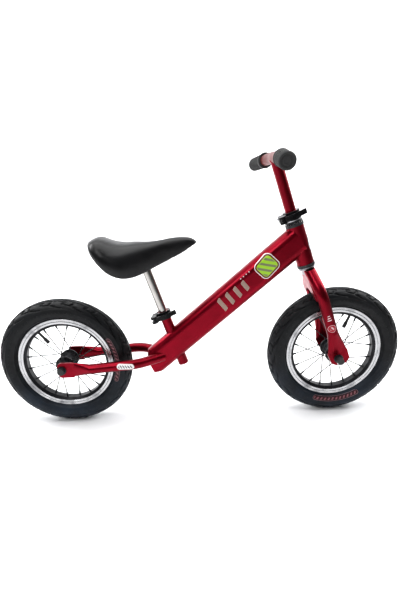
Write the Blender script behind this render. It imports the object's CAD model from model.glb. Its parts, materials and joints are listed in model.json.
"""Balance bike: finishes, soft parts, tyres, grips, decals, studio and camera around the fixed CAD frame."""

import json
import logging
import math
from dataclasses import dataclass, field
from enum import Enum
from typing import Callable, Iterable, Optional, Sequence, Union

import bmesh
import bpy
from mathutils import Matrix, Vector
from mathutils.bvhtree import BVHTree

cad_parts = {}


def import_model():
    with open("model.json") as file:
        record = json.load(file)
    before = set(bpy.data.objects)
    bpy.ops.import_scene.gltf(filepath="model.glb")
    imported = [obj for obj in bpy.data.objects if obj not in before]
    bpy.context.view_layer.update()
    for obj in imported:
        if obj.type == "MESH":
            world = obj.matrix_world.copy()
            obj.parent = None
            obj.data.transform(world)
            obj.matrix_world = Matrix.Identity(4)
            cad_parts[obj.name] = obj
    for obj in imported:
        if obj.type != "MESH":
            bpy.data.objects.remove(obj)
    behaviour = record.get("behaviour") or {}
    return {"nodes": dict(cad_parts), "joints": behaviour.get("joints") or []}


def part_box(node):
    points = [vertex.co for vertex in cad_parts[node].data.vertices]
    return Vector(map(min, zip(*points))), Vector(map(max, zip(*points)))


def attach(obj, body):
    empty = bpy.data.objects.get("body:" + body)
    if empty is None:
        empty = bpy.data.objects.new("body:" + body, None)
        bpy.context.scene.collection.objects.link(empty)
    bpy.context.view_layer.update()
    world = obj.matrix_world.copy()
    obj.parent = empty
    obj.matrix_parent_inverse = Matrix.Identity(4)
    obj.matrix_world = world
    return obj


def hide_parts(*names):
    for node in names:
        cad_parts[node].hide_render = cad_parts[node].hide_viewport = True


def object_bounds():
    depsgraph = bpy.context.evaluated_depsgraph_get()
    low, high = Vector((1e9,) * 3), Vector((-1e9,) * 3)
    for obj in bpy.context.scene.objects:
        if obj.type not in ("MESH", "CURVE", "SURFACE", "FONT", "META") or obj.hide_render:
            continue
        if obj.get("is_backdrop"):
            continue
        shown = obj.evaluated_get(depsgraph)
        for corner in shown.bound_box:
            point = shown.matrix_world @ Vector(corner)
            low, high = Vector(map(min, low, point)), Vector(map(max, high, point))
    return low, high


LOG = logging.getLogger("balance_bike")
MM = 0.001
Colour = tuple[float, float, float]
Value = Union[float, bpy.types.NodeSocket]


class Side(Enum):
    """Side of the bike as the rider sees it, with the sign of its Y."""

    RIGHT = -1
    LEFT = 1


class EdgeWear(Enum):
    """How much bare metal shows along the edges of a coated piece."""

    NONE = 0.0
    LIGHT = 0.35
    WORN = 0.75


# ---------------------------------------------------------------- material graph


class Graph:
    """Node tree of one material, with short calls for the nodes that every finish uses."""

    def __init__(self, name: str) -> None:
        """Start a material with a lone Principled shader.

        Args:
            name: Name of the new material.
        """
        self.material = bpy.data.materials.new(name)
        self.material.use_nodes = True
        self.tree = self.material.node_tree
        self.tree.nodes.clear()
        self.shader = self.tree.nodes.new("ShaderNodeBsdfPrincipled")
        output = self.tree.nodes.new("ShaderNodeOutputMaterial")
        self.tree.links.new(self.shader.outputs[0], output.inputs[0])

    def node(self, kind: str, **settings: object) -> bpy.types.Node:
        """Add a node of a kind and set its properties.

        Args:
            kind: Blender's name of the node type.
            **settings: Properties of the node.

        Returns:
            The new node.
        """
        made = self.tree.nodes.new(kind)
        for name, value in settings.items():
            setattr(made, name, value)
        return made

    def feed(self, socket: bpy.types.NodeSocket, value: object) -> None:
        """Link a socket to another one, or set its value.

        Args:
            socket: Input to be fed.
            value: Output socket, number or colour.
        """
        if isinstance(value, bpy.types.NodeSocket):
            self.tree.links.new(value, socket)
        elif isinstance(value, tuple) and len(value) == 3 and socket.type == "RGBA":
            socket.default_value = (*value, 1.0)
        else:
            socket.default_value = value

    def set(self, name: str, value: object) -> None:
        """Feed one input of the shader."""
        self.feed(self.shader.inputs[name], value)

    def place(self) -> bpy.types.NodeSocket:
        """Give the object coordinates, which are the bike's own metres."""
        return self.node("ShaderNodeTexCoord").outputs["Object"]

    def chart(self) -> bpy.types.NodeSocket:
        """Give the piece's own UV map, which is in millimetres."""
        return self.node("ShaderNodeUVMap", uv_map="chart").outputs["UV"]

    def split(self, vector: bpy.types.NodeSocket) -> tuple[bpy.types.NodeSocket, ...]:
        """Give the X, Y and Z of a vector."""
        parts = self.node("ShaderNodeSeparateXYZ")
        self.feed(parts.inputs[0], vector)
        return tuple(parts.outputs)

    def math(self, operation: str, first: Value, second: Value = 0.0, third: Value = 0.0) -> bpy.types.NodeSocket:
        """Add a Math node.

        Args:
            operation: Name of the operation.
            first: First value.
            second: Second value.
            third: Third value.

        Returns:
            The result.
        """
        made = self.node("ShaderNodeMath", operation=operation)
        for socket, value in zip(made.inputs, (first, second, third)):
            self.feed(socket, value)
        return made.outputs[0]

    def noise(self, scale: float, detail: float = 3.0, stretch: Colour = (1.0, 1.0, 1.0)) -> bpy.types.NodeSocket:
        """Add noise on the object coordinates.

        Args:
            scale: Cells per metre.
            detail: Octaves.
            stretch: Factor on each axis.

        Returns:
            The noise, from 0 to 1.
        """
        mapping = self.node("ShaderNodeMapping")
        self.feed(mapping.inputs["Vector"], self.place())
        mapping.inputs["Scale"].default_value = stretch
        made = self.node("ShaderNodeTexNoise")
        self.feed(made.inputs["Vector"], mapping.outputs[0])
        made.inputs["Scale"].default_value = scale
        made.inputs["Detail"].default_value = detail
        return made.outputs["Fac"]

    def cells(self, scale: float) -> bpy.types.NodeSocket:
        """Give the distance to the nearest point of a cell pattern, with so many cells per metre."""
        made = self.node("ShaderNodeTexVoronoi")
        self.feed(made.inputs["Vector"], self.place())
        made.inputs["Scale"].default_value = scale
        return made.outputs["Distance"]

    def band(self, value: Value, low: float, high: float, to_low: float = 0.0, to_high: float = 1.0) -> bpy.types.NodeSocket:
        """Map a span of a value smoothly onto another span.

        Args:
            value: Value to be mapped.
            low: Where the input span starts.
            high: Where the input span ends.
            to_low: Result at the start.
            to_high: Result at the end.

        Returns:
            The mapped value, clamped to the span.
        """
        made = self.node("ShaderNodeMapRange", interpolation_type="SMOOTHSTEP")
        for socket, number in zip(made.inputs, (value, low, high, to_low, to_high)):
            self.feed(socket, number)
        return made.outputs[0]

    def blend(self, share: Value, first: object, second: object) -> bpy.types.NodeSocket:
        """Mix two colours.

        Args:
            share: Share of the second colour.
            first: First colour.
            second: Second colour.

        Returns:
            The mixed colour.
        """
        made = self.node("ShaderNodeMix", data_type="RGBA")
        self.feed(made.inputs[0], share)
        self.feed(made.inputs[6], first)
        self.feed(made.inputs[7], second)
        return made.outputs[2]

    def relief(self, height: Value, depth: float, strength: float = 1.0,
               under: Optional[bpy.types.NodeSocket] = None) -> bpy.types.NodeSocket:
        """Add a bump.

        Args:
            height: Height from 0 to 1.
            depth: Real depth in metres.
            strength: Strength of the bump.
            under: Normal that this relief lies on.

        Returns:
            The bumped normal.
        """
        made = self.node("ShaderNodeBump")
        made.inputs["Strength"].default_value = strength
        made.inputs["Distance"].default_value = depth
        self.feed(made.inputs["Height"], height)
        if under is not None:
            self.feed(made.inputs["Normal"], under)
        return made.outputs[0]

    def edge(self, radius: float) -> bpy.types.NodeSocket:
        """Give 1 along sharp edges and 0 on open faces, within a radius in metres."""
        soft = self.node("ShaderNodeBevel", samples=4)
        soft.inputs["Radius"].default_value = radius
        true = self.node("ShaderNodeNewGeometry")
        dot = self.node("ShaderNodeVectorMath", operation="DOT_PRODUCT")
        self.feed(dot.inputs[0], soft.outputs[0])
        self.feed(dot.inputs[1], true.outputs["Normal"])
        return self.band(dot.outputs["Value"], 0.985, 0.86)

    def wheel_radius(self, centre: Vector) -> bpy.types.NodeSocket:
        """Give the distance from a wheel's axle.

        Args:
            centre: Centre of the wheel.

        Returns:
            The distance in metres.
        """
        across, _, high = self.split(self.place())
        over = self.math("SUBTRACT", across, centre.x)
        above = self.math("SUBTRACT", high, centre.z)
        return self.math("SQRT", self.math("ADD", self.math("MULTIPLY", over, over),
                                           self.math("MULTIPLY", above, above)))


# ---------------------------------------------------------------- finishes


@dataclass(frozen=True)
class Finish:
    """Base of every finish: a name and a slot of the record."""

    name: str
    slot: str

    def dress(self, graph: Graph) -> None:
        """Lay the finish onto a graph; each kind of finish has its own."""
        raise NotImplementedError

    def material(self) -> bpy.types.Material:
        """Give the material, made the first time it's asked for."""
        found = bpy.data.materials.get(self.name)
        if found is None:
            graph = Graph(self.name)
            self.dress(graph)
            found = graph.material
        return found


@dataclass(frozen=True)
class CandyPaint(Finish):
    """Satin metallic paint: fine flake, an orange-peel skin and lighter worn edges."""

    deep: Colour = (0.14, 0.001, 0.008)
    bright: Colour = (0.29, 0.003, 0.020)
    worn: Colour = (0.60, 0.09, 0.10)
    metal: float = 0.88
    gloss: float = 0.36
    wear: EdgeWear = EdgeWear.LIGHT

    def dress(self, graph: Graph) -> None:
        """Lay the paint onto a graph."""
        flake = graph.band(graph.cells(2600.0), 0.15, 0.75)
        cloud = graph.band(graph.noise(9.0, 4.0), 0.3, 0.7)
        paint = graph.blend(graph.math("MULTIPLY_ADD", flake, 0.25, graph.math("MULTIPLY", cloud, 0.5)),
                            self.deep, self.bright)
        rub = graph.math("MULTIPLY", graph.edge(0.9 * MM), graph.band(graph.noise(160.0, 5.0), 0.42, 0.62))
        paint = graph.blend(graph.math("MULTIPLY", rub, self.wear.value), paint, self.worn)
        graph.set("Base Color", paint)
        graph.set("Metallic", self.metal)
        haze = graph.band(graph.noise(38.0, 5.0), 0.35, 0.7, self.gloss - 0.05, self.gloss + 0.07)
        graph.set("Roughness", haze)
        graph.set("Specular IOR Level", 0.3)
        graph.set("Coat Weight", 0.10)
        graph.set("Coat Roughness", 0.18)
        peel = graph.relief(graph.noise(900.0, 2.0), 0.03 * MM, 0.5)
        scuff = graph.band(graph.noise(30.0, 8.0, (1.0, 1.0, 14.0)), 0.66, 0.8)
        graph.set("Normal", graph.relief(scuff, 0.02 * MM, 0.35, peel))


@dataclass(frozen=True)
class Metal(Finish):
    """Bare or plated metal with fine scratches and finger haze."""

    tone: Colour = (0.78, 0.79, 0.80)
    gloss: float = 0.16
    spread: float = 0.08
    brush: Colour = (1.0, 1.0, 22.0)
    scratch: float = 0.012 * MM

    def dress(self, graph: Graph) -> None:
        """Lay the metal onto a graph."""
        cloud = graph.noise(26.0, 5.0)
        dark = tuple(0.80 * part for part in self.tone)
        graph.set("Base Color", graph.blend(graph.band(cloud, 0.35, 0.75), self.tone, dark))
        graph.set("Metallic", 1.0)
        haze = graph.math("MULTIPLY_ADD", graph.band(cloud, 0.4, 0.7), self.spread, self.gloss)
        lines = graph.noise(420.0, 4.0, self.brush)
        graph.set("Roughness", graph.math("MULTIPLY_ADD", lines, self.spread, haze))
        graph.set("Normal", graph.relief(lines, self.scratch, 0.4))


@dataclass(frozen=True)
class Coated(Finish):
    """Black coated or anodised metal whose edges wear to grey."""

    tone: Colour = (0.007, 0.007, 0.008)
    bare: Colour = (0.26, 0.27, 0.28)
    metal: float = 0.15
    gloss: float = 0.34
    wear: EdgeWear = EdgeWear.LIGHT
    edge_radius: float = 0.5 * MM

    def dress(self, graph: Graph) -> None:
        """Lay the coating onto a graph."""
        chips = graph.math("MULTIPLY", graph.edge(self.edge_radius), graph.band(graph.noise(420.0, 6.0), 0.42, 0.6))
        chips = graph.math("MULTIPLY", chips, self.wear.value)
        pale = tuple(min(1.0, 2.4 * part + 0.004) for part in self.tone)
        tone = graph.blend(graph.band(graph.noise(60.0, 5.0), 0.4, 0.75), self.tone, pale)
        graph.set("Base Color", graph.blend(chips, tone, self.bare))
        graph.set("Metallic", self.metal)
        graph.set("Specular IOR Level", 0.3)
        graph.set("Roughness", graph.band(graph.noise(85.0, 5.0), 0.3, 0.75, self.gloss - 0.06, self.gloss + 0.12))
        graph.set("Normal", graph.relief(graph.noise(1500.0, 3.0), 0.02 * MM, 0.5))


@dataclass(frozen=True)
class Moulded(Finish):
    """Moulded rubber or plastic with a fine grain and a little dust."""

    tone: Colour = (0.006, 0.006, 0.0065)
    dust: Colour = (0.045, 0.046, 0.050)
    dust_share: float = 0.2
    gloss: float = 0.55
    grain: float = 1400.0
    depth: float = 0.05 * MM

    def dress(self, graph: Graph) -> None:
        """Lay the moulded finish onto a graph."""
        settle = graph.band(graph.noise(22.0, 6.0), 0.42, 0.75, 0.0, self.dust_share)
        graph.set("Base Color", graph.blend(settle, self.tone, self.dust))
        graph.set("Specular IOR Level", 0.3)
        graph.set("Roughness", graph.band(graph.noise(70.0, 4.0), 0.3, 0.7, self.gloss - 0.07, self.gloss + 0.1))
        fine = graph.relief(graph.noise(self.grain, 3.0), self.depth, 0.5)
        graph.set("Normal", graph.relief(graph.cells(0.6 * self.grain), 0.6 * self.depth, 0.3, fine))


@dataclass(frozen=True)
class TyreRubber(Finish):
    """Tyre rubber: scuffed raised tread, dark grooves, blue-grey dust low down, moulding rings."""

    centre: tuple[float, float, float] = (0.0, 0.0, 0.0)
    middle: float = 0.1264
    section: float = 0.0236
    scuffed: Colour = (0.013, 0.013, 0.014)
    tone: Colour = (0.003, 0.003, 0.0034)
    dust: Colour = (0.022, 0.033, 0.050)

    def dress(self, graph: Graph) -> None:
        """Lay the rubber onto a graph."""
        centre = Vector(self.centre)
        radius = graph.wheel_radius(centre)
        _, side, high = graph.split(graph.place())
        low = graph.band(high, centre.z + 0.02, centre.z - 0.13)
        cloud = graph.band(graph.noise(18.0, 6.0), 0.25, 0.75, 0.35, 1.0)
        settle = graph.math("MULTIPLY", graph.math("MULTIPLY_ADD", low, 0.85, 0.08), cloud)
        over = graph.math("SUBTRACT", radius, self.middle)
        skin = graph.math("SQRT", graph.math("ADD", graph.math("MULTIPLY", over, over),
                                             graph.math("MULTIPLY", side, side)))
        raised = graph.math("MULTIPLY", graph.band(skin, self.section - 1.6 * MM, self.section - 0.2 * MM),
                            graph.band(over, 0.2 * self.section, 0.7 * self.section))
        worn = graph.blend(graph.math("MULTIPLY", raised, cloud), self.tone, self.scuffed)
        graph.set("Base Color", graph.blend(settle, worn, self.dust))
        graph.set("Specular IOR Level", 0.3)
        graph.set("Roughness", graph.band(graph.noise(90.0, 4.0), 0.3, 0.7, 0.40, 0.58))
        rings = graph.math("SINE", graph.math("MULTIPLY", radius, 2.0 * math.pi / (1.3 * MM)))
        flank = graph.band(radius, 0.131, 0.126)
        grooved = graph.relief(graph.math("MULTIPLY", rings, flank), 0.05 * MM, 0.35)
        graph.set("Normal", graph.relief(graph.noise(1300.0, 3.0), 0.05 * MM, 0.5, grooved))


@dataclass(frozen=True)
class MachinedBand(Finish):
    """Turned aluminium flank of a rim: fine concentric tool lines and short radial ridges."""

    centre: tuple[float, float, float] = (0.0, 0.0, 0.0)
    tone: Colour = (0.50, 0.50, 0.51)

    def dress(self, graph: Graph) -> None:
        """Lay the machined metal onto a graph."""
        centre = Vector(self.centre)
        across, _, high = graph.split(graph.place())
        over = graph.math("SUBTRACT", across, centre.x)
        above = graph.math("SUBTRACT", high, centre.z)
        turn = graph.math("ARCTAN2", above, over)
        ridges = graph.math("SINE", graph.math("MULTIPLY", turn, 360.0))
        rings = graph.math("SINE", graph.math("MULTIPLY", graph.wheel_radius(centre), 2.0 * math.pi / (0.42 * MM)))
        grime = graph.band(graph.noise(45.0, 6.0), 0.45, 0.8)
        graph.set("Base Color", graph.blend(grime, self.tone, (0.22, 0.22, 0.23)))
        graph.set("Metallic", 1.0)
        graph.set("Roughness", graph.math("MULTIPLY_ADD", grime, 0.16, 0.24))
        ridged = graph.relief(ridges, 0.05 * MM, 0.45)
        graph.set("Normal", graph.relief(rings, 0.02 * MM, 0.3, ridged))


@dataclass(frozen=True)
class SaddleSkin(Finish):
    """Smooth black synthetic leather: pebbled grain, soft creases and a satin top coat."""

    tone: Colour = (0.005, 0.005, 0.0055)
    rubbed: Colour = (0.010, 0.010, 0.011)

    def dress(self, graph: Graph) -> None:
        """Lay the skin onto a graph."""
        graph.set("Base Color", graph.blend(graph.band(graph.noise(14.0, 4.0), 0.4, 0.7), self.tone, self.rubbed))
        graph.set("Roughness", graph.band(graph.noise(24.0, 5.0), 0.3, 0.72, 0.33, 0.43))
        graph.set("Specular IOR Level", 0.35)
        pebble = graph.relief(graph.cells(1150.0), 0.05 * MM, 0.45)
        crease = graph.band(graph.noise(60.0, 7.0), 0.5, 0.58)
        graph.set("Normal", graph.relief(crease, 0.05 * MM, 0.18, pebble))


@dataclass(frozen=True)
class Film(Finish):
    """Printed vinyl film: a filled shape with an outline, both following the piece's own chart."""

    fill: Colour = (1.0, 1.0, 1.0)
    line: Colour = (0.9, 0.9, 0.9)
    half: tuple[float, float] = (10.0, 5.0)
    round_off: float = 5.0
    line_width: float = 1.0
    gap: Colour = (0.30, 0.004, 0.018)
    gap_width: float = 0.0
    stripes: float = 0.0
    stripe: Colour = (0.2, 0.2, 0.2)
    gloss: float = 0.3

    def dress(self, graph: Graph) -> None:
        """Lay the film onto a graph."""
        along, across, _ = graph.split(graph.chart())
        reach_x = graph.math("MAXIMUM", graph.math("SUBTRACT", graph.math("ABSOLUTE", along),
                                                   self.half[0] - self.round_off), 0.0)
        reach_y = graph.math("MAXIMUM", graph.math("SUBTRACT", graph.math("ABSOLUTE", across),
                                                   self.half[1] - self.round_off), 0.0)
        corner = graph.math("SQRT", graph.math("ADD", graph.math("MULTIPLY", reach_x, reach_x),
                                               graph.math("MULTIPLY", reach_y, reach_y)))
        inside = graph.math("SUBTRACT", self.round_off, corner)
        colour: object = self.fill
        if self.stripes:
            slant = graph.math("MULTIPLY_ADD", across, 0.6, along)
            wave = graph.math("SINE", graph.math("MULTIPLY", slant, 2.0 * math.pi / self.stripes))
            core = graph.band(inside, 0.45 * self.round_off, 0.55 * self.round_off)
            colour = graph.blend(graph.math("MULTIPLY", graph.band(wave, 0.1, 0.25), core), self.fill, self.stripe)
        if self.gap_width:
            edge = self.line_width + self.gap_width
            colour = graph.blend(graph.band(inside, edge + 0.12, edge - 0.12), colour, self.gap)
        colour = graph.blend(graph.band(inside, self.line_width + 0.12, self.line_width - 0.12), colour, self.line)
        fade = graph.band(graph.noise(120.0, 6.0), 0.58, 0.82, 0.0, 0.3)
        graph.set("Base Color", graph.blend(fade, colour, (0.35, 0.30, 0.30)))
        graph.set("Roughness", graph.band(graph.noise(60.0, 4.0), 0.3, 0.7, self.gloss, self.gloss + 0.12))
        graph.set("Normal", graph.relief(graph.noise(1100.0, 2.0), 0.02 * MM, 0.4))


@dataclass(frozen=True)
class Backdrop(Finish):
    """Matt pale studio paper."""

    tone: Colour = (0.94, 0.945, 0.955)

    def dress(self, graph: Graph) -> None:
        """Lay the paper onto a graph."""
        tint = tuple(0.985 * part for part in self.tone)
        graph.set("Base Color", graph.blend(graph.band(graph.noise(3.0, 4.0), 0.3, 0.7), self.tone, tint))
        graph.set("Roughness", 0.75)
        graph.set("Specular IOR Level", 0.2)
        graph.set("Normal", graph.relief(graph.noise(700.0, 3.0), 0.03 * MM, 0.2))


FRAME_RED = CandyPaint("frame_red_paint", "frame_paint")
BAR_RED = CandyPaint("bar_brick_red_paint", "bar_paint", deep=(0.10, 0.009, 0.008), bright=(0.17, 0.018, 0.015),
                     metal=0.5, gloss=0.45)
SHINY = Metal("post_chrome", "chrome", tone=(0.50, 0.48, 0.46), gloss=0.09, spread=0.07)
TURNED = Metal("turned_steel", "bare_steel", tone=(0.50, 0.50, 0.52), gloss=0.26, spread=0.12)
SPACER = Metal("spacer_aluminium", "spacer_alloy", tone=(0.62, 0.62, 0.64), gloss=0.28, spread=0.1)
BADGE = Metal("badge_plate", "badge", tone=(0.60, 0.61, 0.63), gloss=0.24, spread=0.12)
BLACK_STEEL = Coated("black_steel", "black_steel", edge_radius=0.35 * MM)
BLACK_SPOKE = Coated("black_spoke_wire", "black_steel", metal=0.3, gloss=0.3, wear=EdgeWear.NONE)
BLACK_RIM = Coated("black_rim_paint", "rim_alloy", tone=(0.009, 0.009, 0.011), gloss=0.38, wear=EdgeWear.NONE)
ANODISED = Coated("clamp_anodised", "clamp_alloy", tone=(0.007, 0.007, 0.008), metal=0.3, gloss=0.3,
                  wear=EdgeWear.WORN)
GRIP = Moulded("grip_rubber", "grip_rubber", tone=(0.004, 0.004, 0.0045), gloss=0.5, dust_share=0.12)
PLASTIC = Moulded("black_plastic", "black_plastic", gloss=0.42, grain=2100.0, dust_share=0.12)
TUBE_RUBBER = Moulded("tube_rubber", "tube_rubber", gloss=0.6)
SKIN = SaddleSkin("saddle_skin", "saddle_cover")
PAPER = Backdrop("studio_paper", "")
LIME = Film("lime_badge_film", "frame_paint", fill=(0.36, 0.62, 0.035), line=(0.80, 0.79, 0.77), half=(23.5, 21.0),
            round_off=12.0, line_width=1.7, gap_width=3.0, gap=(0.12, 0.004, 0.010), stripes=13.0,
            stripe=(0.20, 0.22, 0.11))
CHAMPAGNE = Film("champagne_bar_film", "frame_paint", fill=(0.33, 0.23, 0.19), line=(0.50, 0.40, 0.34),
                 half=(9.0, 5.0), round_off=2.4, line_width=0.55)
WHITE_DOT = Film("white_dot_film", "frame_paint", fill=(0.85, 0.80, 0.80), line=(0.72, 0.6, 0.6), half=(1.2, 1.2),
                 round_off=1.2, line_width=0.25)
STAY_FILM = Film("stay_capsule_film", "frame_paint", fill=(0.86, 0.84, 0.84), line=(0.74, 0.62, 0.62),
                 half=(19.0, 6.4), round_off=6.4, line_width=0.7, stripes=5.5, stripe=(0.05, 0.045, 0.05))
LEG_RING = Film("leg_ring_film", "frame_paint", fill=(0.34, 0.006, 0.022), line=(0.72, 0.50, 0.52),
                half=(8.5, 8.5), round_off=8.5, line_width=0.7, stripes=8.0, stripe=(0.66, 0.44, 0.46))
SIDEWALL_FILM = Film("sidewall_capsule_film", "tyre", fill=(0.040, 0.006, 0.009), line=(0.30, 0.16, 0.18),
                     half=(55.0, 5.6), round_off=5.6, line_width=0.7, gap=(0.030, 0.006, 0.008), gap_width=0.9,
                     stripes=9.0, stripe=(0.26, 0.10, 0.12), gloss=0.45)


# ---------------------------------------------------------------- mesh tools


def to_piece(name: str, shape: bmesh.types.BMesh, finish: Finish, body: str, smooth_below: float = 40.0) -> bpy.types.Object:
    """Turn a bmesh into a finished piece that rides on a body.

    Args:
        name: Name of the piece.
        shape: Its shape, in place, in metres; it is freed here.
        finish: Its finish.
        body: Body that it rides on.
        smooth_below: Angle in degrees under which an edge is shaded smooth.

    Returns:
        The new object.
    """
    mesh = bpy.data.meshes.new(name)
    shape.to_mesh(mesh)
    shape.free()
    mesh.shade_smooth()
    mesh.set_sharp_from_angle(angle=math.radians(smooth_below))
    mesh.materials.append(finish.material())
    piece = bpy.data.objects.new(name, mesh)
    bpy.context.scene.collection.objects.link(piece)
    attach(piece, body)
    LOG.info("%s: %d faces on %s", name, len(mesh.polygons), body)
    return piece


def lathe(outline: Sequence[tuple[float, float]], steps: int) -> bmesh.types.BMesh:
    """Spin a closed outline about the X axis: one eighth of the turn, doubled three times.

    Args:
        outline: Pairs of place along the axis and radius.
        steps: Number of steps of the full turn, a multiple of 8.

    Returns:
        The closed ring, its faces outwards.
    """
    shape = bmesh.new()
    corners = [shape.verts.new((along, radius, 0.0)) for along, radius in outline]
    edges = [shape.edges.new(pair) for pair in zip(corners, corners[1:] + corners[:1])]
    turn = math.pi / 4.0
    bmesh.ops.spin(shape, geom=corners + edges, cent=(0, 0, 0), axis=(1, 0, 0), angle=turn,
                   steps=steps // 8, use_merge=False, use_duplicate=False)
    for _ in range(3):
        made = bmesh.ops.duplicate(shape, geom=shape.verts[:] + shape.edges[:] + shape.faces[:])["geom"]
        bmesh.ops.rotate(shape, cent=(0, 0, 0), matrix=Matrix.Rotation(turn, 3, "X"),
                         verts=[item for item in made if isinstance(item, bmesh.types.BMVert)])
        turn *= 2.0
    bmesh.ops.remove_doubles(shape, verts=shape.verts, dist=1e-6)
    bmesh.ops.dissolve_degenerate(shape, edges=shape.edges, dist=1e-7)
    bmesh.ops.recalc_face_normals(shape, faces=shape.faces)
    return shape


def across_wheel(centre: Vector) -> Matrix:
    """Give the matrix that lays a lathed shape's X axis along a wheel's axle.

    Args:
        centre: Centre of the wheel.

    Returns:
        The matrix.
    """
    return Matrix.Translation(centre) @ Matrix.Rotation(math.radians(90.0), 4, "Z")


def surface_of(*pieces: bpy.types.Object) -> BVHTree:
    """Give a search tree over the meshes of some objects, which sit at the origin.

    Args:
        *pieces: Mesh objects.

    Returns:
        The tree.
    """
    corners: list[Vector] = []
    faces: list[tuple[int, ...]] = []
    for piece in pieces:
        start = len(corners)
        corners.extend(vertex.co.copy() for vertex in piece.data.vertices)
        faces.extend(tuple(start + index for index in face.vertices) for face in piece.data.polygons)
    return BVHTree.FromPolygons(corners, faces)


def box_middle(node: str) -> Vector:
    """Give the middle of a CAD node's box."""
    low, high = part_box(node)
    return (Vector(low) + Vector(high)) / 2.0


def bead(name: str, loop: Sequence[Vector], radius: float, finish: Finish, body: str) -> bpy.types.Object:
    """Lay a smooth weld bead along a closed loop.

    Args:
        name: Name of the piece.
        loop: Points of the seam, in order.
        radius: Radius of the bead.
        finish: Its finish.
        body: Body that it rides on.

    Returns:
        The bead as a mesh.
    """
    curve = bpy.data.curves.new(name + "_line", "CURVE")
    curve.dimensions = "3D"
    curve.bevel_depth = radius
    curve.bevel_resolution = 3
    curve.resolution_u = 3
    line = curve.splines.new("NURBS")
    line.points.add(len(loop) - 1)
    for index, (point, spot) in enumerate(zip(line.points, loop)):
        point.co = (*spot, 1.0)
        point.radius = 1.0 + 0.10 * math.sin(2.4 * index)
    line.order_u = 4
    line.use_cyclic_u = True
    carrier = bpy.data.objects.new(name + "_line", curve)
    bpy.context.scene.collection.objects.link(carrier)
    bpy.context.view_layer.update()
    mesh = bpy.data.meshes.new_from_object(carrier.evaluated_get(bpy.context.evaluated_depsgraph_get()))
    bpy.data.objects.remove(carrier)
    bpy.data.curves.remove(curve)
    shape = bmesh.new()
    shape.from_mesh(mesh)
    bpy.data.meshes.remove(mesh)
    bmesh.ops.remove_doubles(shape, verts=shape.verts, dist=1e-6)
    bmesh.ops.recalc_face_normals(shape, faces=shape.faces)
    return to_piece(name, shape, finish, body)


# ---------------------------------------------------------------- wheels


@dataclass
class Tread:
    """Moulded relief of a tyre's crown: slanted S-shaped grooves that meet in the middle, sizes in degrees and mm."""

    pitches: int = 19
    inner: float = 7.0
    outer: float = 68.0
    sweep: float = 20.0
    sway: float = 4.8
    width: float = 2.5
    depth: float = 2.5
    centre_width: float = 1.3

    def _groove(self, turn: float, lean: float, start: float, end: float, lag: float, width: float,
                crown: float, section: float) -> float:
        """Give the share of full depth of one row of slanted grooves.

        Args:
            turn: Angle round the wheel, in degrees.
            lean: Angle from the crown, in degrees, positive.
            start: Lean at which the groove starts.
            end: Lean at which it ends.
            lag: Turn of the groove within its pitch, in degrees.
            width: Half width in mm.
            crown: Radius of the tread at the crown, in mm.
            section: Radius of the tyre's section, in mm.

        Returns:
            0 outside the groove and 1 at its floor.
        """
        if not start < lean < end:
            return 0.0
        share = (lean - start) / (end - start)
        pitch = 360.0 / self.pitches
        line = lag + self.sweep * share + self.sway * math.sin(2.0 * math.pi * share)
        off = (turn - line + pitch / 2.0) % pitch - pitch / 2.0
        slope = (self.sweep + 2.0 * math.pi * self.sway * math.cos(2.0 * math.pi * share)) / (end - start)
        slope *= crown / section
        gap = abs(math.radians(off) * crown) / math.sqrt(1.0 + slope * slope)
        taper = width * (0.45 + 0.55 * math.sin(math.pi * share))
        return min(1.0, max(0.0, (taper + 0.35 - gap) / 0.7))

    def depth_at(self, turn: float, lean: float, crown: float, section: float) -> float:
        """Give the depth of the tread at a place of the tyre.

        Args:
            turn: Angle round the wheel, in degrees.
            lean: Angle from the crown towards +Y, in degrees.
            crown: Radius of the tread at the crown, in mm.
            section: Radius of the tyre's section, in mm.

        Returns:
            Depth in mm.
        """
        if lean < 0.0:
            turn = -turn + 180.0 / self.pitches
        half = abs(lean)
        pitch = 360.0 / self.pitches
        long_row = self._groove(turn, half, self.inner, self.outer, 0.0, self.width, crown, section)
        short_row = self._groove(turn, half, 20.0, 52.0, 0.62 * pitch, 0.8 * self.width, crown, section)
        middle = math.radians(half) * section
        centre = min(1.0, max(0.0, (self.centre_width + 0.3 - middle) / 0.6))
        return self.depth * max(long_row, 0.8 * short_row, 0.7 * centre)


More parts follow.
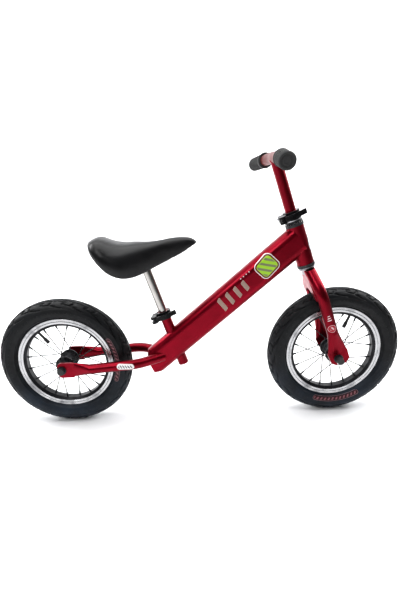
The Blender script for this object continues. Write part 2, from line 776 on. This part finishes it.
@dataclass
class Wheel:
    """One air-tyred wheel: moulded tyre, machined rim bands, fluted valve cap and sidewall print; sizes in mm."""

    prefix: str
    valve_turn: float
    print_turn: float
    body: str = ""
    section: float = 23.6
    wall: float = 3.6
    rim_edge: float = 108.0
    rim_half: float = 12.4
    steps: int = 720
    tread: Tread = field(default_factory=Tread)

    def __post_init__(self) -> None:
        """Read the wheel's place from the frame."""
        self.body = self.prefix + "_wheel"
        self.centre = box_middle(self.prefix + "_tyre")
        low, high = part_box(self.prefix + "_tyre")
        self.crown = (high[2] - low[2]) / 2.0 / MM
        self.middle = self.crown - self.section

    def _leans(self) -> list[float]:
        """Give the angles from the crown at which the tyre's skin has a ring of points."""
        fine = [index * 2.2 for index in range(-31, 32)]
        flank = [71.0, 73.0, 74.2, 75.4, 77.5, 83.0, 89.0, 95.0, 101.0, 107.0, 113.0, 119.0, 121.0, 122.5, 125.0]
        return [-lean for lean in reversed(flank)] + fine + flank

    def _skin_point(self, lean: float) -> tuple[float, float]:
        """Give the place along the axle and the radius of the skin at an angle from the crown, in metres."""
        turn = math.radians(lean)
        ring = 0.45 if 72.5 < abs(lean) < 76.0 or 120.0 < abs(lean) < 123.0 else 0.0
        reach = self.section + ring
        return (MM * reach * math.sin(turn), MM * (self.middle + reach * math.cos(turn)))

    def tyre(self) -> bpy.types.Object:
        """Model the tyre.

        Returns:
            The tyre.
        """
        skin = [self._skin_point(lean) for lean in self._leans()]
        bead_in, bead_out = self.rim_half - 5.4, self.rim_half - 1.8
        foot = [(bead_out, self.rim_edge + 0.6), (bead_out, self.rim_edge - 4.0), (bead_in, self.rim_edge - 4.0)]
        inner = [(self.section - self.wall) * part for part in (0.78, 1.0, 0.62, 0.0, -0.62, -1.0, -0.78)]
        lift = [(self.section - self.wall) * part for part in (-0.62, 0.0, 0.78, 1.0, 0.78, 0.0, -0.62)]
        back = [(MM * along, MM * (self.middle + up)) for along, up in zip(inner, lift)]
        right = [(MM * along, MM * radius) for along, radius in foot]
        left = [(-along, radius) for along, radius in reversed(right)]
        shape = lathe(skin + right + back + left, self.steps)
        shape.transform(across_wheel(Vector((0, 0, 0))))
        limit = MM * (self.section - 0.2)
        for vertex in shape.verts:
            spot = vertex.co
            radius = math.hypot(spot.x, spot.z)
            out = Vector((spot.x / radius, 0.0, spot.z / radius))
            from_core = Vector((0.0, spot.y, 0.0)) + (radius - MM * self.middle) * out
            if from_core.length < limit:
                continue
            lean = math.degrees(math.atan2(spot.y, radius - MM * self.middle))
            turn = math.degrees(math.atan2(spot.z, spot.x))
            cut = self.tread.depth_at(turn, lean, self.crown, self.section)
            vertex.co = spot - MM * cut * from_core.normalized()
        bmesh.ops.translate(shape, verts=shape.verts, vec=self.centre)
        finish = TyreRubber(self.prefix + "_tyre_rubber", "tyre", centre=tuple(self.centre))
        piece = to_piece(self.prefix + "_tyre_moulded", shape, finish, self.body, 75.0)
        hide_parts(self.prefix + "_tyre")
        return piece

    def nibs(self, tyre: bpy.types.Object) -> None:
        """Add the row of small round studs above each bead.

        Args:
            tyre: The tyre that they stand on.
        """
        shape = bmesh.new()
        count = 96
        for side in Side:
            for index in range(count):
                turn = 2.0 * math.pi * index / count
                lean = math.radians(92.0)
                radius = MM * (self.middle + self.section * math.cos(lean))
                spot = Vector((radius * math.cos(turn), side.value * MM * self.section * math.sin(lean),
                               radius * math.sin(turn)))
                seat = Matrix.Translation(spot) @ Matrix.Rotation(math.radians(-90.0 * side.value), 4, "X")
                bmesh.ops.create_cone(shape, cap_ends=True, cap_tris=False, segments=8, radius1=1.25 * MM,
                                      radius2=0.7 * MM, depth=1.3 * MM, matrix=seat)
        bmesh.ops.translate(shape, verts=shape.verts, vec=self.centre)
        bmesh.ops.recalc_face_normals(shape, faces=shape.faces)
        finish = TyreRubber(self.prefix + "_tyre_rubber", "tyre", centre=tuple(self.centre))
        to_piece(self.prefix + "_tyre_nibs", shape, finish, self.body)

    def bands(self) -> None:
        """Add the machined flank of the rim on each side: two flat bands with a dark groove between."""
        finish = MachinedBand(self.prefix + "_rim_band", "rim_alloy", centre=tuple(self.centre))
        face, back = self.rim_half + 0.45, self.rim_half - 0.3
        outline = [(back, self.rim_edge - 0.3), (face - 0.25, self.rim_edge - 0.3), (face, self.rim_edge - 0.7),
                   (face, 102.9), (face - 0.35, 102.6), (face - 0.5, 101.9), (face - 0.35, 101.3),
                   (face, 101.0), (face, 98.2), (face - 0.3, 97.0), (face - 2.5, 94.7), (back - 2.4, 94.9),
                   (back, 97.3)]
        for side in Side:
            ring = lathe([(side.value * MM * along, MM * radius) for along, radius in outline], 240)
            ring.transform(across_wheel(self.centre))
            bmesh.ops.recalc_face_normals(ring, faces=ring.faces)
            to_piece(f"{self.prefix}_rim_band_{side.name.lower()}", ring, finish, self.body, 20.0)

    def valve_cap(self) -> None:
        """Model the fluted dust cap, in place of the plain one."""
        low, high, flutes = 59.0, 74.0, 24
        outline = [(low, 0.0), (low, 2.6), (low + 0.6, 3.6), (low + 1.4, 4.0), (high - 3.0, 4.0), (high - 2.4, 3.5),
                   (high - 0.4, 3.5), (high, 3.3), (high, 3.02), (high - 6.0, 3.02), (high - 6.0, 0.0)]
        shape = lathe([(MM * along, MM * radius) for along, radius in outline], 2 * flutes)
        for vertex in shape.verts:
            if MM * (low + 1.0) < vertex.co.x < MM * (high - 2.6) and math.hypot(vertex.co.y, vertex.co.z) > 3.9 * MM:
                index = round(math.atan2(vertex.co.z, vertex.co.y) / math.pi * flutes)
                if index % 2:
                    vertex.co.y *= 0.91
                    vertex.co.z *= 0.91
        turn = Matrix.Rotation(math.radians(-self.valve_turn), 4, "Y")
        shape.transform(Matrix.Translation(self.centre) @ turn)
        piece = to_piece(self.prefix + "_valve_cap_fluted", shape, PLASTIC, self.body, 30.0)
        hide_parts(self.prefix + "_valve_cap")

    def sidewall_print(self, tyre: bpy.types.Object) -> None:
        """Print a plain striped capsule on each sidewall.

        Args:
            tyre: The tyre that is printed on.
        """
        surface = surface_of(tyre)
        ring = 118.0
        for side in Side:
            def spot(along: float, across: float) -> Vector:
                """Give the place on the wheel's side for a place on the print, in mm."""
                turn = math.radians(self.print_turn) + along / ring
                reach = MM * (ring + across)
                return self.centre + Vector((reach * math.cos(turn), 0.0, reach * math.sin(turn)))

            Decal(f"{self.prefix}_sidewall_print_{side.name.lower()}", SIDEWALL_FILM, 64, 8,
                  spot).lay(surface, side, self.body)

    def build(self) -> None:
        """Build everything that this class adds to the wheel."""
        tyre = self.tyre()
        self.nibs(tyre)
        self.bands()
        self.valve_cap()
        self.sidewall_print(tyre)


# ---------------------------------------------------------------- decals


@dataclass
class Decal:
    """Thin printed film, laid sideways onto a surface; its chart is in mm."""

    name: str
    film: Film
    columns: int
    rows: int
    spot: Callable[[float, float], Vector]
    shear: float = 0.0
    lift: float = 0.12
    thickness: float = 0.10

    def _edge(self, share: float) -> float:
        """Give the half width of the film's outline at a share of its half length."""
        half_x, half_y = self.film.half
        past = abs(share) * half_x - (half_x - self.film.round_off)
        if past <= 0.0:
            return half_y
        return half_y - self.film.round_off + math.sqrt(max(self.film.round_off ** 2 - past ** 2, 0.0))

    def lay(self, surface: BVHTree, side: Side, body: str) -> bpy.types.Object:
        """Lay the film onto a surface from one side of the bike.

        Args:
            surface: Search tree over what it lies on.
            side: Side from which it is laid.
            body: Body that it rides on.

        Returns:
            The film.
        """
        half_x = self.film.half[0]
        shape = bmesh.new()
        bmesh.ops.create_grid(shape, x_segments=self.columns, y_segments=self.rows, size=1.0)
        chart = shape.loops.layers.uv.new("chart")
        places: dict[int, tuple[float, float]] = {}
        shape.verts.index_update()
        for vertex in shape.verts:
            share = 0.999 * math.sin(0.5 * math.pi * vertex.co.x)
            along, across = share * half_x, vertex.co.y * self._edge(share)
            places[vertex.index] = (along, across)
            start = self.spot(along + self.shear * across, across)
            start.y = side.value * 0.5
            found, normal, _, _ = surface.ray_cast(start, Vector((0.0, -side.value, 0.0)))
            if found is None:
                raise RuntimeError(f"{self.name} misses its surface")
            if normal.y * side.value < 0.0:
                normal = -normal
            vertex.co = found + MM * self.lift * normal
        for face in shape.faces:
            for loop in face.loops:
                loop[chart].uv = places[loop.vert.index]
        bmesh.ops.recalc_face_normals(shape, faces=shape.faces)
        if sum(face.normal.y for face in shape.faces) * side.value < 0.0:
            bmesh.ops.reverse_faces(shape, faces=shape.faces)
        piece = to_piece(self.name, shape, self.film, body, 60.0)
        skin = piece.modifiers.new("thickness", "SOLIDIFY")
        skin.thickness = MM * self.thickness
        skin.offset = -1.0
        return piece


@dataclass
class FrameGraphics:
    """Plain printed shapes on the main tube, the chainstays and the fork legs; sizes in mm."""

    rise: float = 39.4
    joint_height: float = 272.0
    badge_place: tuple[float, float] = (-84.0, 4.5)
    bars: tuple[tuple[float, float], ...] = ((-207.0, 8.0), (-186.0, 8.0), (-165.0, 8.0), (-144.0, 8.0))

    def __post_init__(self) -> None:
        """Read the steering axis from the frame."""
        joint = next(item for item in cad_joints() if item["name"] == "steering")
        self.foot = Vector(joint["pos_m"])
        self.up = Vector(joint["axis"]).normalized()
        self.forward = Vector((self.up.z, 0.0, -self.up.x))
        self.joint = self.foot + MM * self.joint_height * self.up
        turn = math.radians(self.rise)
        self.along = Vector((math.cos(turn), 0.0, math.sin(turn)))
        self.over = Vector((-math.sin(turn), 0.0, math.cos(turn)))

    def _on_tube(self, along: float, over: float, tilt: float = 0.0) -> Callable[[float, float], Vector]:
        """Give the map from a film's own mm to the bike's side view, on the main tube.

        Args:
            along: Place of the film along the tube, from the steering axis.
            over: Height above the tube's middle line.
            tilt: Turn of the film on the tube, in degrees.

        Returns:
            The map.
        """
        turn = math.radians(tilt)

        def spot(film_x: float, film_y: float) -> Vector:
            """Give the place for a place on the film."""
            run = along + film_x * math.cos(turn) - film_y * math.sin(turn)
            high = over + film_x * math.sin(turn) + film_y * math.cos(turn)
            return self.joint + MM * run * self.along + MM * high * self.over

        return spot

    def build(self, nodes: dict[str, bpy.types.Object]) -> None:
        """Lay every film.

        Args:
            nodes: CAD nodes by name.
        """
        tube = surface_of(nodes["main_tube"])
        for side in Side:
            tag = side.name.lower()
            Decal(f"tube_badge_{tag}", LIME, 26, 22, self._on_tube(*self.badge_place, 8.0)).lay(tube, side, "frame")
            for index, (along, over) in enumerate(self.bars):
                tall = Film(f"champagne_bar_film_{index}", "frame_paint", fill=CHAMPAGNE.fill, line=CHAMPAGNE.line,
                            half=(15.0 - 1.2 * index, 4.6), round_off=1.8, line_width=0.5)
                Decal(f"tube_bar_{index}_{tag}", tall, 14, 6, self._on_tube(along, over - 5.0, 90.0),
                      shear=-0.35).lay(tube, side, "frame")
            for index in range(4):
                Decal(f"tube_dot_{index}_{tag}", WHITE_DOT, 6, 6,
                      self._on_tube(-142.0 + 7.5 * index, 20.0)).lay(tube, side, "frame")
            self._on_stay(nodes, side)
            self._on_leg(nodes, side)

    def _on_stay(self, nodes: dict[str, bpy.types.Object], side: Side) -> None:
        """Lay the capsule on one chainstay.

        Args:
            nodes: CAD nodes by name.
            side: Side of the bike.
        """
        tag = side.name.lower()
        middle = Vector((-0.163, 0.0, 0.1575))

        def spot(film_x: float, film_y: float) -> Vector:
            """Give the place for a place on the film."""
            return middle + MM * Vector((film_x, 0.0, film_y - 0.04 * film_x))

        Decal(f"stay_capsule_{tag}", STAY_FILM, 24, 10, spot).lay(surface_of(nodes[f"chainstay_{tag}"]), side, "frame")

    def _on_leg(self, nodes: dict[str, bpy.types.Object], side: Side) -> None:
        """Lay the ring and the three short bars on one fork leg.

        Args:
            nodes: CAD nodes by name.
            side: Side of the bike.
        """
        tag = side.name.lower()
        leg = surface_of(nodes[f"fork_leg_{tag}"])
        axis_out = 4.0

        def at(height: float) -> Callable[[float, float], Vector]:
            """Give the map from a film's mm to the leg, centred at a height up the steering axis."""
            def spot(film_x: float, film_y: float) -> Vector:
                """Give the place for a place on the film."""
                return self.foot + MM * (height + film_y) * self.up + MM * (axis_out + film_x) * self.forward
            return spot

        Decal(f"leg_ring_{tag}", LEG_RING, 18, 18, at(80.0)).lay(leg, side, "fork")
        for index, reach in enumerate((4.6, 3.6, 2.6)):
            dash = Film(f"leg_dash_film_{index}", "frame_paint", fill=(0.80, 0.66, 0.68), line=(0.72, 0.55, 0.57),
                        half=(reach, 1.1), round_off=1.0, line_width=0.2)
            Decal(f"leg_dash_{index}_{tag}", dash, 8, 4, at(100.0 + 5.0 * index), shear=0.3).lay(leg, side, "fork")


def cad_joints() -> list[dict]:
    """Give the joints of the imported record."""
    return FRAME["joints"]


# ---------------------------------------------------------------- handlebar grips


@dataclass
class Grips:
    """Ribbed rubber grips on the swept bar; sizes in mm."""

    bar_height: float = 437.5
    straight_half: float = 46.0
    half_width: float = 171.0
    sweep: float = 16.0
    drop: float = 4.0
    length: float = 92.0
    radius: float = 14.3
    flange: float = 15.8
    bore: float = 11.15
    rib_pitch: float = 5.6

    def _outline(self) -> list[tuple[float, float]]:
        """Give the grip's closed outline, from the outer end inwards."""
        outer = [(1.6, 0.0), (1.6, 4.4), (0.9, 5.0), (0.9, 6.6), (1.6, 7.2), (1.6, 9.8), (0.4, 10.6), (0.05, 11.4),
                 (0.4, 12.6), (1.6, 13.6), (3.0, self.radius)]
        ribs: list[tuple[float, float]] = []
        place = 6.0
        while place + self.rib_pitch < self.length - 8.0:
            ribs += [(place, self.radius), (place + 0.5, self.radius - 1.0), (place + 1.5, self.radius - 1.35),
                     (place + 2.5, self.radius - 1.0), (place + 3.0, self.radius), (place + 4.3, self.radius + 0.12)]
            place += self.rib_pitch
        end = [(self.length - 6.0, self.radius), (self.length - 4.6, self.radius + 0.6),
               (self.length - 4.2, self.flange - 0.4), (self.length - 3.4, self.flange),
               (self.length - 0.8, self.flange), (self.length - 0.05, self.flange - 0.8),
               (self.length - 0.05, self.bore), (5.1, self.bore), (5.1, 0.0)]
        return [(MM * along, MM * radius) for along, radius in outer + ribs + end]

    def build(self) -> None:
        """Build both grips in place of the plain ones."""
        joint = next(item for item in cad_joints() if item["name"] == "steering")
        up = Vector(joint["axis"]).normalized()
        forward = Vector((up.z, 0.0, -up.x))
        middle = Vector(joint["pos_m"]) + MM * self.bar_height * up
        for side in Side:
            out = Vector((0.0, side.value, 0.0))
            root = middle + MM * self.straight_half * out
            tip = middle + MM * self.half_width * out - MM * (self.sweep * forward + self.drop * up)
            inward = (root - tip).normalized()
            across = up.cross(inward).normalized()
            lift = inward.cross(across)
            start = tip - MM * 5.0 * inward
            place = Matrix((inward, across, lift)).transposed().to_4x4()
            place.translation = start
            shape = lathe(self._outline(), 72)
            shape.transform(place)
            tag = side.name.lower()
            piece = to_piece(f"grip_ribbed_{tag}", shape, GRIP, "handlebar", 38.0)
            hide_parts(f"grip_{tag}")


# ---------------------------------------------------------------- saddle


@dataclass
class Saddle:
    """Foam saddle under stretched synthetic leather; sizes in mm."""

    voxel: float = 4.0
    tuck: float = 1.6
    swell: float = 3.2
    pressure: float = 4.0
    frames: int = 20

    def _skin(self, cushion: bpy.types.Object) -> bpy.types.Object:
        """Copy the CAD cushion as one even mesh.

        Args:
            cushion: CAD node of the cushion.

        Returns:
            The copy, not yet on a body.
        """
        shape = bmesh.new()
        shape.from_mesh(cushion.data)
        bmesh.ops.remove_doubles(shape, verts=shape.verts, dist=1e-5)
        mesh = bpy.data.meshes.new("saddle_cover")
        shape.to_mesh(mesh)
        shape.free()
        piece = bpy.data.objects.new("saddle_cover", mesh)
        bpy.context.scene.collection.objects.link(piece)
        remesh = piece.modifiers.new("even", "REMESH")
        remesh.mode = "VOXEL"
        remesh.voxel_size = MM * self.voxel
        self._apply(piece)
        return piece

    def _apply(self, piece: bpy.types.Object) -> None:
        """Bake a piece's modifiers into its mesh.

        Args:
            piece: The piece.
        """
        bpy.context.view_layer.update()
        solved = bpy.data.meshes.new_from_object(piece.evaluated_get(bpy.context.evaluated_depsgraph_get()))
        piece.modifiers.clear()
        old = piece.data
        piece.data = solved
        bpy.data.meshes.remove(old)

    def _inner(self, piece: bpy.types.Object) -> set[int]:
        """Give the vertices that line the cavity, which see the cushion itself along their normal.

        Args:
            piece: The cushion.

        Returns:
            Their indices.
        """
        tree = surface_of(piece)
        found = set()
        for vertex in piece.data.vertices:
            start = vertex.co + 0.4 * MM * vertex.normal
            hit = tree.ray_cast(start, vertex.normal, 0.25)[0]
            if hit is not None or vertex.normal.z < -0.93:
                found.add(vertex.index)
        return found

    def _settle(self, piece: bpy.types.Object) -> None:
        """Let the foam press the skin outwards as cloth, held along the cavity.

        Args:
            piece: The cushion, as one even mesh.
        """
        held = self._inner(piece)
        group = piece.vertex_groups.new(name="held")
        group.add(sorted(held), 1.0, "REPLACE")
        rest = [vertex.co.copy() for vertex in piece.data.vertices]
        for vertex in piece.data.vertices:
            if vertex.index not in held:
                vertex.co -= MM * self.tuck * vertex.normal
        start = [vertex.co.copy() for vertex in piece.data.vertices]
        air = piece.modifiers.new("air", "CLOTH")
        air.settings.quality = 6
        air.settings.tension_stiffness = 25.0
        air.settings.compression_stiffness = 25.0
        air.settings.bending_stiffness = 8.0
        air.settings.use_pressure = True
        air.settings.uniform_pressure_force = self.pressure
        air.settings.vertex_group_mass = "held"
        air.settings.effector_weights.gravity = 0.0
        scene = bpy.context.scene
        for number in range(1, self.frames + 1):
            scene.frame_set(number)
        solved = piece.evaluated_get(bpy.context.evaluated_depsgraph_get())
        spots = [vertex.co.copy() for vertex in solved.data.vertices]
        piece.modifiers.clear()
        scene.frame_set(1)
        for vertex, before, spot, home in zip(piece.data.vertices, start, spots, rest):
            move = spot - before
            if move.length > MM * self.swell:
                move *= MM * self.swell / move.length
            vertex.co = home if vertex.index in held else before + move

    def build(self, nodes: dict[str, bpy.types.Object]) -> None:
        """Build the cover in place of the plain cushion.

        Args:
            nodes: CAD nodes by name.
        """
        piece = self._skin(nodes["saddle_cushion"])
        self._settle(piece)
        shape = bmesh.new()
        shape.from_mesh(piece.data)
        for _ in range(2):
            bmesh.ops.smooth_vert(shape, verts=shape.verts, factor=0.4, use_axis_x=True, use_axis_y=True,
                                  use_axis_z=True)
        bmesh.ops.recalc_face_normals(shape, faces=shape.faces)
        shape.to_mesh(piece.data)
        shape.free()
        piece.data.shade_smooth()
        piece.data.materials.clear()
        piece.data.materials.append(SKIN.material())
        soft = piece.modifiers.new("soft", "SUBSURF")
        soft.levels = soft.render_levels = 1
        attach(piece, "saddle")
        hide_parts("saddle_cushion")
        LOG.info("saddle_cover: %d faces on saddle", len(piece.data.polygons))


# ---------------------------------------------------------------- welds


@dataclass
class Welds:
    """Smooth weld beads where the tubes meet; sizes in mm."""

    bead: float = 1.9
    count: int = 56

    def _ring(self, centre: Vector, axis: Vector, radius: float) -> list[Vector]:
        """Give points on a circle.

        Args:
            centre: Centre of the circle.
            axis: Axis of the circle.
            radius: Radius in mm.

        Returns:
            The points, in order.
        """
        side = Vector((0.0, 1.0, 0.0))
        first = side.cross(axis).normalized()
        turns = [2.0 * math.pi * index / self.count for index in range(self.count)]
        return [centre + MM * radius * (math.cos(turn) * first + math.sin(turn) * side) for turn in turns]

    def _seam(self, name: str, starts: Iterable[Vector], way: Vector, targets: Sequence[bpy.types.Object],
              body: str, size: float = 1.0) -> None:
        """Find where lines along a tube meet other pieces, and lay a bead there.

        Args:
            name: Name of the bead.
            starts: Points on the tube.
            way: Direction of the tube, towards the other pieces.
            targets: The other pieces.
            body: Body that the bead rides on.
            size: Factor on the bead's radius.
        """
        surface = surface_of(*targets)
        loop = [surface.ray_cast(start, way)[0] for start in starts]
        if any(spot is None for spot in loop):
            LOG.warning("%s: the seam is open, so it is left out", name)
            return
        bead(name, loop, MM * self.bead * size, FRAME_RED, body)

    def build(self, nodes: dict[str, bpy.types.Object], graphics: FrameGraphics) -> None:
        """Lay every bead.

        Args:
            nodes: CAD nodes by name.
            graphics: Holds the directions of the tubes.
        """
        half_high, half_wide, corner = 30.5, 20.0, 17.5
        starts = []
        for index in range(self.count):
            turn = 2.0 * math.pi * index / self.count
            high = math.sin(turn) * corner + math.copysign(half_high - corner, math.sin(turn))
            wide = math.cos(turn) * corner + math.copysign(half_wide - corner, math.cos(turn))
            starts.append(graphics.joint - 0.12 * graphics.along + MM * high * graphics.over
                          + Vector((0.0, MM * wide * 0.80, 0.0)))
        self._seam("weld_head_tube", starts, graphics.along, [nodes["head_tube"]], "frame")
        slide = next(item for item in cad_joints() if item["name"] == "saddle_height")
        seat_up = Vector(slide["axis"]).normalized()
        low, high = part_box("seat_tube")
        top = Vector((low[0] + MM * 11.7 * seat_up.z, 0.0, high[2] - MM * 11.7 * abs(seat_up.x)))
        self._seam("weld_seat_tube", self._ring(top - 0.012 * seat_up, seat_up, 11.7), -seat_up,
                   [nodes["main_tube"], nodes["tail_plate"]], "frame")
        self._seam("weld_handlebar_post", self._ring(graphics.foot + 0.40 * graphics.up, graphics.up, 11.0),
                   graphics.up, [nodes["handlebar_bar"]], "handlebar", 0.7)


# ---------------------------------------------------------------- CAD finishes


def finishes_by_node() -> dict[str, Finish]:
    """Give the finish of every CAD node that stays visible."""
    chosen: dict[str, Finish] = {}
    for names, finish in (
        (("main_tube", "tail_plate", "head_tube", "seat_tube", "chainstay_left", "chainstay_right", "fork_leg_left",
          "fork_leg_right", "fork_crown_web", "handlebar_post"), FRAME_RED),
        (("handlebar_bar",), BAR_RED),
        (("seat_post", "headset_lower_balls", "headset_upper_balls", "rear_hub_balls", "front_hub_balls"), SHINY),
        (("fork_steerer", "crown_race", "rear_axle", "front_axle", "rear_cones", "front_cones"), TURNED),
        (("headset_spacer",), SPACER),
        (("head_badge",), BADGE),
        (("rear_nuts", "front_nuts", "rear_hub_shell", "front_hub_shell", "headset_lower_cup",
          "headset_upper_cup", "headset_cover", "seat_bracket", "saddle_bolts", "rear_nipples",
          "front_nipples"), BLACK_STEEL),
        (("rear_spokes", "front_spokes"), BLACK_SPOKE),
        (("rear_rim", "front_rim"), BLACK_RIM),
        (("seat_clamp_collar", "bar_clamp_collar", "seat_clamp_lever", "bar_clamp_lever", "seat_clamp_skewer",
          "bar_clamp_skewer"), ANODISED),
        (("saddle_base", "rear_axle_caps", "front_axle_caps"), PLASTIC),
        (("rear_inner_tube", "front_inner_tube", "rear_rim_tape", "front_rim_tape"), TUBE_RUBBER),
    ):
        for name in names:
            chosen[name] = finish
    return chosen


def dress_frame(nodes: dict[str, bpy.types.Object]) -> None:
    """Give every CAD node its finish.

    Args:
        nodes: CAD nodes by name.
    """
    for name, finish in finishes_by_node().items():
        node = nodes[name]
        for holder in node.material_slots:
            holder.material = finish.material()
        LOG.info("%s: %s", name, finish.name)


# ---------------------------------------------------------------- studio


@dataclass(frozen=True)
class SoftBox:
    """One soft area light; sizes in metres."""

    name: str
    place: tuple[float, float, float]
    aim: tuple[float, float, float]
    width: float
    height: float
    power: float
    colour: Colour = (1.0, 1.0, 1.0)

    def build(self) -> None:
        """Hang the light."""
        lamp = bpy.data.lights.new(self.name, "AREA")
        lamp.shape = "RECTANGLE"
        lamp.size = self.width
        lamp.size_y = self.height
        lamp.energy = self.power
        lamp.color = self.colour
        holder = bpy.data.objects.new(self.name, lamp)
        holder.location = self.place
        way = Vector(self.aim) - Vector(self.place)
        holder.rotation_euler = way.to_track_quat("-Z", "Y").to_euler()
        bpy.context.scene.collection.objects.link(holder)


@dataclass(frozen=True)
class Studio:
    """Pale paper sweep, soft lights and the camera."""

    paper_front: float = -7.0
    paper_back: float = 2.6
    paper_side: float = 5.0
    bend: float = 1.2
    wall: float = 3.6
    sky: float = 0.11
    camera_place: tuple[float, float, float] = (-0.0024, -0.8558, 0.5438)
    pitch: float = 22.69
    yaw: float = 0.27
    roll: float = -2.38
    lens: float = 24.36
    shift: float = 0.0687

    def paper(self) -> None:
        """Hang the paper, as one strip that bends up behind the bike."""
        shape = bmesh.new()
        ends = [shape.verts.new((side * self.paper_side, self.paper_front, -0.0005)) for side in (-1.0, 1.0)]
        strip = [shape.edges.new(ends)]
        moves = [Vector((0.0, self.paper_back - self.bend - self.paper_front, 0.0))]
        steps = 16
        turns = [0.5 * math.pi * index / steps for index in range(steps + 1)]
        for first, second in zip(turns, turns[1:]):
            moves.append(self.bend * Vector((0.0, math.sin(second) - math.sin(first),
                                             math.cos(first) - math.cos(second))))
        moves.append(Vector((0.0, 0.0, self.wall)))
        for move in moves:
            made = bmesh.ops.extrude_edge_only(shape, edges=strip)["geom"]
            bmesh.ops.translate(shape, verts=[item for item in made if isinstance(item, bmesh.types.BMVert)], vec=move)
            strip = [item for item in made if isinstance(item, bmesh.types.BMEdge)]
        bmesh.ops.recalc_face_normals(shape, faces=shape.faces)
        if shape.faces[:][0].normal.z < 0.0:
            bmesh.ops.reverse_faces(shape, faces=shape.faces)
        mesh = bpy.data.meshes.new("studio_floor")
        shape.to_mesh(mesh)
        shape.free()
        mesh.shade_smooth()
        mesh.materials.append(PAPER.material())
        sheet = bpy.data.objects.new("studio_floor", mesh)
        bpy.context.scene.collection.objects.link(sheet)
        sheet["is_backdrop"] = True

    def lights(self) -> None:
        """Hang the lights and tone the sky."""
        world = bpy.data.worlds.new("soft_room")
        world.use_nodes = True
        back = world.node_tree.nodes["Background"]
        back.inputs[0].default_value = (0.97, 0.985, 1.0, 1.0)
        back.inputs[1].default_value = self.sky
        bpy.context.scene.world = world
        middle = (0.0, 0.0, 0.25)
        for box in (
            SoftBox("key_box", (-1.2, -1.6, 1.9), middle, 1.1, 0.6, 16.0),
            SoftBox("top_box", (0.0, 0.2, 2.6), (0.0, 0.2, 0.0), 3.4, 2.6, 90.0),
            SoftBox("wall_box_left", (-2.3, 0.7, 1.7), (-0.2, 2.6, 0.8), 1.2, 1.2, 55.0),
            SoftBox("wall_box_right", (2.3, 0.7, 1.7), (0.2, 2.6, 0.8), 1.2, 1.2, 55.0),
        ):
            box.build()

    def camera(self) -> None:
        """Set the camera."""
        pitch, yaw, roll = (math.radians(turn) for turn in (self.pitch, self.yaw, self.roll))
        ahead = Vector((math.sin(yaw) * math.cos(pitch), math.cos(yaw) * math.cos(pitch), -math.sin(pitch)))
        level = Vector((math.cos(yaw), -math.sin(yaw), 0.0))
        high = level.cross(ahead)
        right = math.cos(roll) * level + math.sin(roll) * high
        up = -math.sin(roll) * level + math.cos(roll) * high
        lens = bpy.data.cameras.new("studio_camera")
        lens.lens = self.lens
        lens.shift_y = self.shift
        lens.clip_start = 0.01
        holder = bpy.data.objects.new("studio_camera", lens)
        turn = Matrix((right, up, -ahead)).transposed().to_4x4()
        turn.translation = Vector(self.camera_place)
        holder.matrix_world = turn
        bpy.context.scene.collection.objects.link(holder)
        bpy.context.scene.camera = holder

    def build(self) -> None:
        """Build the whole studio."""
        self.paper()
        self.lights()
        self.camera()
        bpy.context.scene.view_settings.view_transform = "Standard"
        bpy.context.scene.view_settings.look = "Medium High Contrast"


# ---------------------------------------------------------------- run


def main(cad_box: tuple[Sequence[float], Sequence[float]]) -> None:
    """Build every piece in order.

    Args:
        cad_box: Lowest and highest corner of the CAD model.
    """
    logging.basicConfig(level=logging.INFO, format="%(message)s")
    nodes = FRAME["nodes"]
    Studio().build()
    dress_frame(nodes)
    for wheel in (Wheel("rear", valve_turn=126.0, print_turn=4.0), Wheel("front", valve_turn=68.0, print_turn=-84.0)):
        wheel.build()
    graphics = FrameGraphics()
    graphics.build(nodes)
    Grips().build()
    Welds().build(nodes, graphics)
    Saddle().build(nodes)


if __name__ == "__main__":
    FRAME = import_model()
    main(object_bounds())
